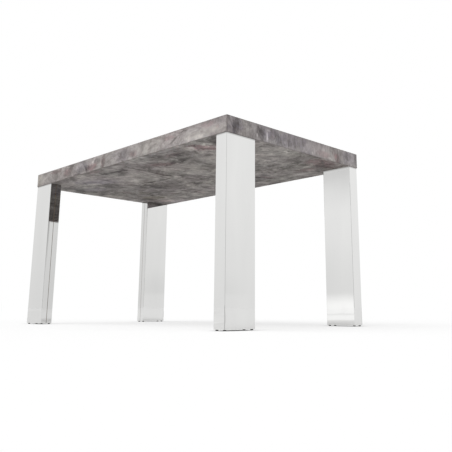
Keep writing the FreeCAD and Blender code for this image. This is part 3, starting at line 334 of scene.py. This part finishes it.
SHORT_STAINS = [
    (DARK, (0.014, 0.000), (0.022, 0.045), 0, 0.9),
    (DARK, (0.042, 0.000), (0.018, 0.050), 0, 1.6),
    (DARK, (0.162, -0.002), (0.013, 0.032), 3, 1.4),
    (DARK, (0.181, -0.004), (0.013, 0.030), 0, 1.3),
    (DARK, (0.240, 0.004), (0.014, 0.026), 0, 0.4),
    (DARK, (0.285, 0.000), (0.035, 0.034), 0, 0.8),
    (DARK, (0.060, 0.010), (0.010, 0.016), 0, 0.4),
    (DARK, (0.092, -0.014), (0.009, 0.012), 0, 0.4),
    (DARK, (0.117, 0.014), (0.012, 0.012), 0, 0.8),
    (DARK, (0.342, -0.010), (0.014, 0.018), 0, 0.7),
    (DARK, (0.370, 0.004), (0.012, 0.030), 0, 0.7),
    (DARK, (0.423, 0.006), (0.014, 0.020), 0, 0.6),
    (DARK, (0.395, -0.010), (0.012, 0.018), 0, 0.6),
    (DARK, (0.655, -0.002), (0.010, 0.034), 0, 1.0),
    (DARK, (0.680, 0.014), (0.014, 0.014), 0, 0.6),
    (DARK, (0.725, 0.000), (0.012, 0.030), 0, 0.6),
    (DARK, (0.780, 0.000), (0.020, 0.030), 0, 0.5),
    (MAROON, (0.645, -0.006), (0.022, 0.024), 0, 1.0),
    (MAROON, (0.560, -0.012), (0.050, 0.014), 0, 0.5),
    (MAROON, (0.240, 0.004), (0.020, 0.020), 0, 0.4),
    (LIGHT, (0.155, -0.014), (0.0045, 0.008), 0, 2.2),
    (LIGHT, (0.210, -0.008), (0.0045, 0.020), 4, 2.4),
    (LIGHT, (0.219, 0.018), (0.014, 0.006), 0, 1.4),
    (LIGHT, (0.085, 0.004), (0.010, 0.026), 0, 0.4),
    (LIGHT, (0.310, -0.010), (0.006, 0.008), 0, 1.2),
    (LIGHT, (0.484, -0.022), (0.005, 0.008), 0, 1.4),
    (LIGHT, (0.430, 0.006), (0.040, 0.020), 0, 0.4),
    (LIGHT, (0.520, -0.004), (0.080, 0.024), 0, 0.7),
    (LIGHT, (0.755, -0.014), (0.014, 0.014), 0, 0.8),
    (LIGHT, (0.768, 0.004), (0.014, 0.020), 0, 0.8),
    (LIGHT, (0.560, 0.006), (0.010, 0.010), 0, 0.6),
    (LIGHT, (0.600, -0.020), (0.014, 0.007), 0, 0.9),
    (LILAC, (0.340, 0.0), (0.120, 0.040), 0, 0.9),
    (LILAC, (0.740, 0.0), (0.060, 0.040), 0, 0.7),
    (LILAC, (0.200, 0.0), (0.030, 0.040), 0, 0.4),
    (LILAC, (0.040, 0.0), (0.035, 0.045), 0, 1.0),
]


def stains(nodes, place, ragged, entries):
    """Sums of ragged-edged stains by kind; place has the face's two directions as x and y."""
    sums = {}
    for kind, (across, up), (wide, tall), turn, strength in entries:
        offset = nodes.vector("SUBTRACT", place, (across, up, 0.0))
        spot = nodes.add("ShaderNodeVectorRotate", {"Vector": offset, "Angle": math.radians(-turn)},
                         rotation_type="Z_AXIS").outputs["Vector"]
        spot = nodes.vector("DIVIDE", spot, (wide, tall, 1.0))
        rim = nodes.times(ragged, min(1.0, 0.25 + 30.0 * min(wide, tall)))
        reach = nodes.math("ADD", nodes.vector("LENGTH", spot), rim)
        amount = nodes.smooth(reach, 1.35, 0.45, 0.0, strength)
        sums[kind] = nodes.math("ADD", amount, sums.get(kind, 0.0))
    return sums


def stone(name, entries, face, strength=1.0):
    """Laminate printed as stained concrete, the same on a face and on the one across from it."""
    material, nodes = new_material(name)
    place = nodes.place()
    middle = (HEIGHT + SLAB_BOTTOM) / 2
    x, y, z = (nodes.split(place)[axis] for axis in "XYZ")
    side = {"broad": nodes.math("SIGN", nodes.math("SUBTRACT", middle, z)),
            "long": nodes.math("SIGN", nodes.times(y, -1.0)),
            "short": nodes.math("SIGN", x)}[face]
    x, y = nodes.times(x, side), nodes.times(y, side)
    place = nodes.add("ShaderNodeCombineXYZ", {"X": x, "Y": y, "Z": z}).outputs[0]

    # the face's own two directions; the print is drawn out lengthwise on the long edges and
    # upright on the short ones
    if face == "broad":
        flat = nodes.add("ShaderNodeCombineXYZ", {"X": x, "Y": y, "Z": 0.0}).outputs[0]
        grain = place
    else:
        along = nodes.math("SUBTRACT", LENGTH / 2, x) if face == "long" else nodes.math(
            "ADD", WIDTH / 2, y)
        up = nodes.math("SUBTRACT", z, middle)
        flat = nodes.add("ShaderNodeCombineXYZ", {"X": along, "Y": up, "Z": 0.0}).outputs[0]
        grain = nodes.vector("MULTIPLY", place, (0.70, 0.95, 1.10 if face == "long" else 0.72))
    wavy = nodes.warp(nodes.warp(grain, 6.0, 0.10), 24.0, 0.030)

    clouds = nodes.noise(wavy, 8.0, 7.0, 0.60)
    blotches = nodes.noise(wavy, 26.0, 6.0, 0.66)
    flecks = nodes.noise(wavy, 95.0, 5.0, 0.70)
    grit = nodes.noise(place, 520.0, 3.0, 0.7)
    patches = nodes.noise(grain, 2.6, 2.0, 0.5)
    downward = nodes.noise(nodes.vector("MULTIPLY", place, (1.0, 1.0, 0.16)), 130.0, 4.0, 0.6)

    # dark veins where a noise crosses its middle, and lighter wisps where the veins are few
    ridge = nodes.math("ABSOLUTE", nodes.math("SUBTRACT", nodes.noise(wavy, 6.5, 5.0, 0.55), 0.5))
    veins = nodes.times(nodes.smooth(ridge, 0.050, 0.0), nodes.smooth(patches, 0.36, 0.62))
    wisp = nodes.math("ABSOLUTE", nodes.math("SUBTRACT", nodes.noise(wavy, 15.0, 4.0, 0.5), 0.47))
    wisps = nodes.times(nodes.smooth(wisp, 0.022, 0.0), nodes.smooth(patches, 0.62, 0.40))

    level = 0.5
    weights = {"broad": (1.55, 1.22, 0.68, 0.32, 0.08), "long": (0.68, 0.58, 0.54, 0.26, 0.12),
               "short": (0.50, 0.56, 0.48, 0.24, 0.34)}[face]
    for part, weight in zip((clouds, blotches, flecks, grit, downward), weights):
        swing = nodes.times(nodes.math("SUBTRACT", part, 0.5), weight)
        level = nodes.math("ADD", swing, level)
    ragged = nodes.times(nodes.math("SUBTRACT", blotches, 0.5), 2.8)
    placed = stains(nodes, nodes.warp(flat, 30.0, 0.012), ragged, entries)
    for part, weight in ((placed[LIGHT], 0.15 * strength), (placed[DARK], -0.17 * strength),
                         (placed[MAROON], -0.05), (veins, -0.11), (wisps, 0.07)):
        level = nodes.math("ADD", level, nodes.times(part, weight))
    if face == "broad":
        # painted for light: the top, which lies in full light, shows its print less strongly than the
        # underside, whose stronger print is set for the shade it lies in
        lit_top_calm = nodes.smooth(z, middle - 0.01, middle + 0.01, 1.0, 0.72)
        swing = nodes.math("SUBTRACT", level, 0.5)
        level = nodes.math("ADD", nodes.times(swing, lit_top_calm), 0.5)
    level = nodes.math("ADD", level, {"broad": 0.018, "long": 0.024, "short": 0.042}[face], clamp=True)

    cool = {"broad": 0, "long": 1, "short": 2}[face]
    color = nodes.ramp(level, [
        (0.05, srgb(68, 62, 60 + cool)), (0.28, srgb(105, 99, 96 + cool)),
        (0.50, srgb(144, 138, 135 + cool)), (0.72, srgb(179, 173, 169 + cool)),
        (0.95, srgb(214, 209, 204 + cool))])
    tones = ((MAROON, (124, 106, 106)), (LILAC, (138, 132, 137)), (OLIVE, (140, 134, 123)))
    for kind, tone in tones:
        if kind in placed:
            amount = nodes.math("MULTIPLY", placed[kind], nodes.smooth(flecks, 0.32, 0.60), clamp=True)
            tinted = nodes.mix(1.0, color, rgba(srgb(*tone)), "COLOR")
            color = nodes.mix(amount, color, tinted)
    tint = nodes.noise(grain, 5.0, 3.0, 0.5, color=True)
    color = nodes.mix(0.05, color, tint, "OVERLAY")

    # the laminate's dark body shows as a fine line along its edges
    up_edge = nodes.math("SUBTRACT", (HEIGHT - SLAB_BOTTOM) / 2,
                         nodes.math("ABSOLUTE", nodes.math("SUBTRACT", z, middle)))
    x_edge = nodes.math("SUBTRACT", LENGTH / 2, nodes.math("ABSOLUTE", x))
    y_edge = nodes.math("SUBTRACT", WIDTH / 2, nodes.math("ABSOLUTE", y))
    pair = {"broad": (x_edge, y_edge), "long": (x_edge, up_edge), "short": (y_edge, up_edge)}[face]
    line = nodes.smooth(nodes.math("MINIMUM", *pair), 0.0020, 0.0008)
    color = nodes.mix(nodes.times(line, 0.45), color, rgba(srgb(76, 69, 65)))

    rough = nodes.smooth(level, 0.2, 0.9, 0.60, 0.74)
    relief = nodes.math("ADD", nodes.times(grit, 0.5), nodes.times(flecks, 0.5))
    nodes.surface(color, rough, height=relief, bump=0.25, depth=0.0006, Specular_IOR_Level=0.22)
    return material


# ---------------------------------------------------------------- metals
def darkening_and_painted_shade(nodes, x, y, z):
    """How far the polished sheet is darkened at each place, between 0 and 1: its seams, a few darker
    tones, and painted shade and painted reflections.
    """
    far_x, far_y = nodes.math("ABSOLUTE", x), nodes.math("ABSOLUTE", y)
    # two of the posts turn a narrow side to the front or the back, the other two a wide one
    narrow = nodes.math("LESS_THAN", nodes.times(x, y), 0.0)
    wide = nodes.math("SUBTRACT", 1.0, narrow)

    # the seamed sides: their seams, a darker streak along an outer fold, and a darker top, a painted
    # reflection that deepens the slab mirrored there
    seamed_x = nodes.smooth(far_x, INNER_X + 0.0014, INNER_X + 0.0004)
    seamed_y = nodes.smooth(far_y, TURNED_Y + 0.0014, TURNED_Y + 0.0004)
    to_seam_x = nodes.math("ABSOLUTE", nodes.math("SUBTRACT", far_x, SEAM_X))
    to_seam_y = nodes.math("ABSOLUTE", nodes.math("SUBTRACT", far_y, SEAM_Y))
    seams = nodes.largest(
        nodes.times(seamed_x, nodes.smooth(to_seam_y, 0.0016, 0.0008, 0.0, 0.85)),
        nodes.times(seamed_y, nodes.smooth(to_seam_x, 0.0016, 0.0008, 0.0, 0.45)))
    fold_streak = nodes.times(seamed_x, nodes.smooth(far_y, OUTER_Y - 0.012, OUTER_Y - 0.004),
                        nodes.smooth(z, 0.12, 0.52, 0.0, 0.50))
    # painted reflection: the narrow inner faces darken above the height where they mirror the slab
    top = nodes.times(
        seamed_x, nodes.smooth(z, MIRRORED_SLAB - 0.005, MIRRORED_SLAB + 0.015, 0.0, 0.70))
    film = nodes.largest(nodes.times(seamed_x, 0.10),
                         nodes.times(seamed_y, nodes.smooth(z, 0.04, 0.12, 0.0, 0.10)))

    # painted shade in the reflections of the outer sides near the floor, most of all the narrow ones,
    # and of the outermost folds
    low_shade = nodes.math("ADD", nodes.times(narrow, nodes.smooth(z, 0.018, 0.033, 0.0, 0.20)),
                        nodes.times(wide, 0.07))
    height = nodes.math("ADD", z, nodes.times(narrow, 0.007))
    foot_shade = nodes.times(nodes.smooth(far_y, OUTER_Y - 0.008, OUTER_Y - 0.002), low_shade,
                       nodes.smooth(height, 0.074, 0.056))
    fold_shade = nodes.times(nodes.smooth(far_x, OUTER_X - 0.0024, OUTER_X - 0.0014),
                       nodes.smooth(far_y, OUTER_Y - 0.0024, OUTER_Y - 0.0014),
                       nodes.smooth(z, 0.090, 0.068, 0.0, 0.40))

    # painted shade under the slab: a wedge on two broad inner sides, and a painted contact shadow along
    # the top of every post
    from_edge = nodes.math("SUBTRACT", WIDTH / 2, far_y)
    over = nodes.math("ADD", nodes.math("SUBTRACT", z, SLAB_BOTTOM), nodes.times(from_edge, 0.28))
    wedge_shade = nodes.times(narrow, nodes.smooth(far_x, TURNED_X + 0.0008, TURNED_X + 0.0003),
                        nodes.smooth(over, -0.001, 0.002, 0.0, 0.60))
    # painted contact shadow along the top of every post
    line = nodes.smooth(z, SLAB_BOTTOM - 0.008, SLAB_BOTTOM - 0.001, 0.0, 0.5)
    return nodes.largest(seams, fold_streak, top, film, foot_shade, fold_shade, wedge_shade, line)


def polished(name, leaning=False):
    """Mirror-polished sheet with a faint ripple and haze, darker at its seams and with painted shade
    and reflections in places.

    The upper part of a broad inner face leans a little, as folded sheet does, so it mirrors the
    floor where a flat face would mirror the slab."""
    material, nodes = new_material(name)
    place = nodes.place()
    x, y, z = (nodes.split(place)[axis] for axis in "XYZ")
    haze = nodes.noise(nodes.vector("MULTIPLY", place, (3.0, 3.0, 0.6)), 4.0, 3.0, 0.5)
    ripple = nodes.noise(nodes.vector("MULTIPLY", place, (1.0, 1.0, 0.3)), 6.0, 2.0, 0.4)
    scratches = nodes.noise(nodes.vector("MULTIPLY", place, (900.0, 900.0, 14.0)), 1.0, 2.0, 0.6)
    color = nodes.ramp(haze, [(0.3, (0.868, 0.868, 0.86)), (0.7, (0.90, 0.90, 0.89))])
    color = nodes.mix(darkening_and_painted_shade(nodes, x, y, z), color, (0.10, 0.095, 0.09, 1.0))

    rough = nodes.smooth(scratches, 0.3, 0.8, 0.02, 0.05)
    facing = None
    if leaning:
        amount = nodes.math("MULTIPLY", nodes.math("SUBTRACT", z, MIRRORED_SLAB), 5.0, clamp=True)
        # painted shade: the leaning faces darken towards the slab above them
        color = nodes.mix(nodes.smooth(z, 0.57, 0.68, 0.0, 0.22), color, (0.30, 0.295, 0.29, 1.0))
        side = nodes.math("SIGN", y)
        lean = nodes.add("ShaderNodeCombineXYZ", {
            "X": nodes.times(amount, side, -0.12),
            "Z": nodes.times(amount, -0.17)}).outputs[0]
        facing = nodes.vector("NORMALIZE", nodes.vector(
            "ADD", nodes.add("ShaderNodeNewGeometry").outputs["Normal"], lean))
    nodes.surface(color, rough, metallic=1.0, height=ripple, bump=1.0, depth=0.0006, normal=facing)
    return material


def metal(name, color, roughness, stretch):
    """Drawn or plated metal with streaks along its own length."""
    material, nodes = new_material(name)
    place = nodes.place()
    streaks = nodes.noise(nodes.vector("MULTIPLY", place, stretch), 1.0, 4.0, 0.6)
    blotches = nodes.noise(place, 22.0, 4.0, 0.6)
    tone = nodes.math("ADD", nodes.times(streaks, 0.5), nodes.times(blotches, 0.5))
    shade = nodes.ramp(tone, [(0.3, tuple(0.82 * c for c in color)), (0.7, color)])
    rough = nodes.smooth(tone, 0.3, 0.7, roughness - 0.07, roughness + 0.07)
    nodes.surface(shade, rough, metallic=1.0, height=streaks, bump=0.12, depth=0.0003)
    return material


# ---------------------------------------------------------------- boards and plastics
def fibreboard(name):
    """Bare board: short pale fibres pressed together."""
    material, nodes = new_material(name)
    place = nodes.place()
    fibres = nodes.noise(nodes.vector("MULTIPLY", place, (1.0, 1.0, 3.0)), 380.0, 4.0, 0.7)
    patches = nodes.noise(place, 9.0, 3.0, 0.5)
    tone = nodes.math("ADD", nodes.times(fibres, 0.6), nodes.times(patches, 0.4))
    color = nodes.ramp(tone, [(0.32, srgb(142, 112, 78)), (0.5, srgb(172, 142, 104)),
                              (0.68, srgb(196, 170, 132))])
    rough = nodes.smooth(tone, 0.3, 0.7, 0.74, 0.88)
    nodes.surface(color, rough, height=fibres, bump=0.35, depth=0.0005)
    return material


def moulded(name, color, roughness):
    """Moulded plastic with a fine spark-eroded grain."""
    material, nodes = new_material(name)
    place = nodes.place()
    grain = nodes.noise(place, 1400.0, 2.0, 0.6)
    cloud = nodes.noise(place, 30.0, 3.0, 0.5)
    shade = nodes.ramp(cloud, [(0.3, tuple(0.88 * c for c in color)), (0.7, color)])
    rough = nodes.smooth(grain, 0.3, 0.7, roughness - 0.05, roughness + 0.08)
    nodes.surface(shade, rough, height=grain, bump=0.2, depth=0.0002)
    return material


def dress_nodes():
    """Gives every node of the part its material, by the start of its name."""
    stone_broad = stone("stone_broad", UNDER_STAINS, "broad", 1.25)
    stone_long = stone("stone_long", LONG_STAINS, "long")
    stone_short = stone("stone_short", SHORT_STAINS, "short", 0.85)
    flat, leaning = polished("polished_sheet"), polished("polished_sheet_leaning", True)
    steel_x = metal("zinc_steel_rolled", (0.62, 0.63, 0.64), 0.36, (12.0, 700.0, 700.0))
    steel_z = metal("zinc_steel_bar", (0.60, 0.61, 0.62), 0.32, (600.0, 600.0, 14.0))
    board = fibreboard("bare_board")
    black = moulded("black_plastic", (0.018, 0.018, 0.019), 0.42)
    ivory = moulded("slider_plastic", srgb(222, 219, 206), 0.34)
    materials = {
        "top_panel": stone_broad,
        "under_panel": stone_broad,
        "leaf_board": stone_broad,
        "front_edge": stone_long,
        "back_edge": stone_long,
        "end_edge": stone_short,
        "leg_core": board,
        "corner_blocks": board,
        "long_ribs": board,
        "cross_ribs": board,
        "split_blocks": board,
        "dowels": board,
        "leg_plug": black,
        "leg_glides": black,
        "channel_collars": ivory,
        "bar_shoes": ivory,
        "rack": ivory,
        "sync_pinion": ivory,
        "front_bar": metal("drawn_aluminium", (0.72, 0.73, 0.74), 0.33, (10.0, 800.0, 800.0)),
        "tie_rods": steel_z,
    }
    materials["back_bar"] = materials["front_bar"]
    for name, piece in frame["nodes"].items():
        matches = [start for start in materials if name.startswith(start)]
        piece.data.materials.clear()
        if name.startswith("leg_sheet"):
            dress_sheet(piece, flat, leaning)
        else:
            piece.data.materials.append(materials[max(matches, key=len)] if matches else steel_x)


def dress_sheet(piece, flat, leaning):
    """A post's sheet; the broad inner faces that run along the table lean, with their folds."""
    piece.data.materials.append(flat)
    piece.data.materials.append(leaning)
    for face in piece.data.polygons:
        inwards = face.normal.y * face.center.y < -0.02
        at_side = INNER_Y - 0.001 < abs(face.center.y) < INNER_Y + 0.002
        face.material_index = 1 if inwards and at_side else 0


# ---------------------------------------------------------------- stage
# where the posts' front sides and right-hand sides send the eye, where the eye itself is, and the
# foot of the back right post, which mirrors the floor in front of it
GLARE = (-0.574, -0.819, 0.0)
BACK_WALL = (0.805, 0.593, 0.0)
CAMERA_CORNER = (0.777, -0.629, 0.0)
MIRROR_FOOT = (0.64, 0.34, 0.0)
JOINT_DISTANCE = 5.2


def floor():
    """A plain pale floor, bright to the eye and in reflections, that keeps the table's shadow."""
    bpy.ops.mesh.primitive_plane_add(size=160.0, location=(0.0, 0.0, 0.0))
    plane = bpy.context.object
    plane.name = "floor"
    material, nodes = new_material("floor")
    rays = nodes.add("ShaderNodeLightPath")
    glossy = nodes.math("MAXIMUM", rays.outputs["Is Glossy Ray"], rays.outputs["Is Transmission Ray"])
    place = nodes.place()
    # in reflections it is a little grey, but for a painted pool of light in front of the back right
    # post, and a joint between two of its sheets
    out = nodes.vector("SUBTRACT", place, MIRROR_FOOT)
    distance = nodes.vector("LENGTH", out)
    aim = nodes.vector("DOT_PRODUCT", nodes.vector("NORMALIZE", out), GLARE)
    painted_light_pool = nodes.times(nodes.smooth(aim, 0.986, 0.996),
                      nodes.smooth(distance, 1.0, 1.6, 0.0, 0.36))
    to_joint = nodes.math("ABSOLUTE", nodes.math("SUBTRACT", distance, JOINT_DISTANCE))
    joint = nodes.times(nodes.smooth(aim, 0.995, 0.998),
                        nodes.smooth(to_joint, 1.3, 0.4, 0.0, 0.28))
    far = nodes.math("ADD", nodes.math("SUBTRACT", painted_light_pool, joint), 0.70)
    # painted shade: ambient occlusion darkens the floor's glow close to the table's feet
    contact_shade = nodes.add("ShaderNodeAmbientOcclusion", {"Distance": 0.05}, samples=8).outputs["AO"]
    glow = nodes.math("ADD", rays.outputs["Is Camera Ray"], nodes.times(glossy, far))
    glow = nodes.times(glow, contact_shade)
    share = nodes.math("ADD", nodes.times(rays.outputs["Is Camera Ray"], 0.66),
                       nodes.times(glossy, 0.55))
    shade = nodes.math("ADD", nodes.times(share, 0.43), 0.62)
    diffuse = nodes.add("ShaderNodeBsdfDiffuse", {"Color": shade})
    shine = nodes.add("ShaderNodeEmission", {"Color": (1.0, 1.0, 1.0, 1.0), "Strength": glow})
    blend = nodes.add("ShaderNodeMixShader", {"Fac": share})
    nodes.put(blend.inputs[1], diffuse.outputs[0])
    nodes.put(blend.inputs[2], shine.outputs[0])
    output = nodes.add("ShaderNodeOutputMaterial")
    nodes.put(output.inputs["Surface"], blend.outputs[0])
    plane.data.materials.append(material)


def world():
    """Even studio light; the eye sees white, and polished faces see the studio's pale walls."""
    studio = bpy.data.worlds.new("studio")
    scene.world = studio
    studio.use_nodes = True
    nodes = Nodes(studio.node_tree)
    rays = nodes.add("ShaderNodeLightPath")
    direction = nodes.add("ShaderNodeTexCoord").outputs["Generated"]
    height = nodes.split(direction)["Z"]
    sideways = nodes.math("ABSOLUTE", nodes.split(direction)["X"])
    walls = nodes.math("ADD", nodes.smooth(height, -0.02, 0.22, 0.80, 0.86),
                       nodes.times(nodes.math("SUBTRACT", sideways, 0.70), -0.22))
    # windows low down on one side, shade above them and at the back, and the unlit corner where
    # the camera stands
    for towards, glow, shade, top in ((GLARE, 0.215, 0.05, 0.13), (BACK_WALL, 0.0, 0.05, 0.07)):
        aim = nodes.smooth(nodes.vector("DOT_PRODUCT", direction, towards), 0.985, 0.997)
        above = nodes.times(nodes.smooth(height, top, 0.03, 0.0, shade),
                           nodes.smooth(height, 0.018, 0.026))
        change = nodes.math("SUBTRACT", nodes.smooth(height, 0.026, 0.004, 0.0, glow), above)
        walls = nodes.math("ADD", walls, nodes.times(aim, change))
    facing = nodes.vector("DOT_PRODUCT", direction, CAMERA_CORNER)
    walls = nodes.times(walls, nodes.smooth(facing, 0.82, 0.95, 1.0, 0.25))
    light = nodes.add("ShaderNodeBackground", {"Color": (1.0, 1.0, 1.0, 1.0), "Strength": 0.48})
    white = nodes.add("ShaderNodeBackground", {"Color": (1.0, 1.0, 1.0, 1.0), "Strength": 1.0})
    mirrored = nodes.add("ShaderNodeBackground", {"Color": (1.0, 1.0, 1.0, 1.0), "Strength": walls})
    glossy = nodes.math("MAXIMUM", rays.outputs["Is Glossy Ray"], rays.outputs["Is Transmission Ray"])
    first = nodes.add("ShaderNodeMixShader", {"Fac": glossy})
    nodes.put(first.inputs[1], light.outputs[0])
    nodes.put(first.inputs[2], mirrored.outputs[0])
    second = nodes.add("ShaderNodeMixShader", {"Fac": rays.outputs["Is Camera Ray"]})
    nodes.put(second.inputs[1], first.outputs[0])
    nodes.put(second.inputs[2], white.outputs[0])
    output = nodes.add("ShaderNodeOutputWorld")
    nodes.put(output.inputs["Surface"], second.outputs[0])


def lamp(name, towards, strength, softness):
    """A broad soft light from far away, in the direction given."""
    data = bpy.data.lights.new(name, "SUN")
    data.energy = strength * math.pi
    data.angle = math.radians(softness)
    light = bpy.data.objects.new(name, data)
    scene.collection.objects.link(light)
    light.location = 4.0 * Vector(towards)
    light.rotation_euler = Vector(towards).to_track_quat("Z", "Y").to_euler()
    light.visible_glossy = False


camera()
dress_nodes()
floor()
world()
lamp("key", (-0.35, -0.75, 0.50), 0.38, 84.0)
lamp("fill", (0.87, -0.20, 0.46), 0.27, 84.0)
lamp("top", (-0.10, -0.42, 0.90), 0.34, 50.0)
scene.view_settings.view_transform = "Standard"
